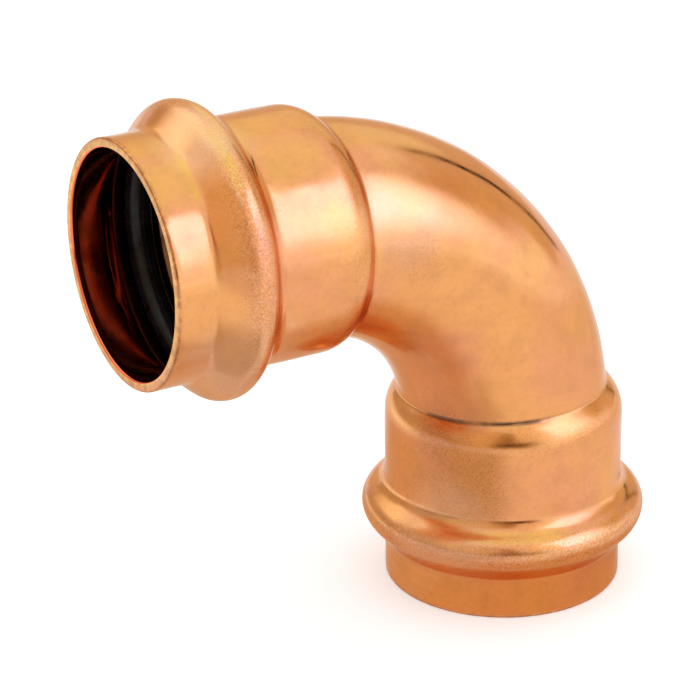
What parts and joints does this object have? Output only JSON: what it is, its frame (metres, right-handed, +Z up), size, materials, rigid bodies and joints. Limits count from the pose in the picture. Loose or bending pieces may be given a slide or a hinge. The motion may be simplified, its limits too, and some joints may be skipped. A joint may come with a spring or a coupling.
{
  "type": "press fit pipe elbow",
  "caption": "Right-angle press fit pipe elbow formed from copper tube, with a beaded socket at each end that holds a rubber seal ring and takes a copper pipe.",
  "frame": {"origin": "centre of the bottom socket's mouth, on that socket's axis", "axes": "+Z up along the bottom socket's axis, -X out of the side socket's mouth, +Y across the bend"},
  "size_m": [0.0739, 0.0378, 0.0739],
  "materials": {
    "copper": "bright drawn copper, satin",
    "seal_rubber": "smooth black, lightly greased"
  },
  "bodies": {
    "root": {"elbow_body": "copper", "side_seal_ring": "seal_rubber", "bottom_seal_ring": "seal_rubber"}
  },
  "joints": []
}
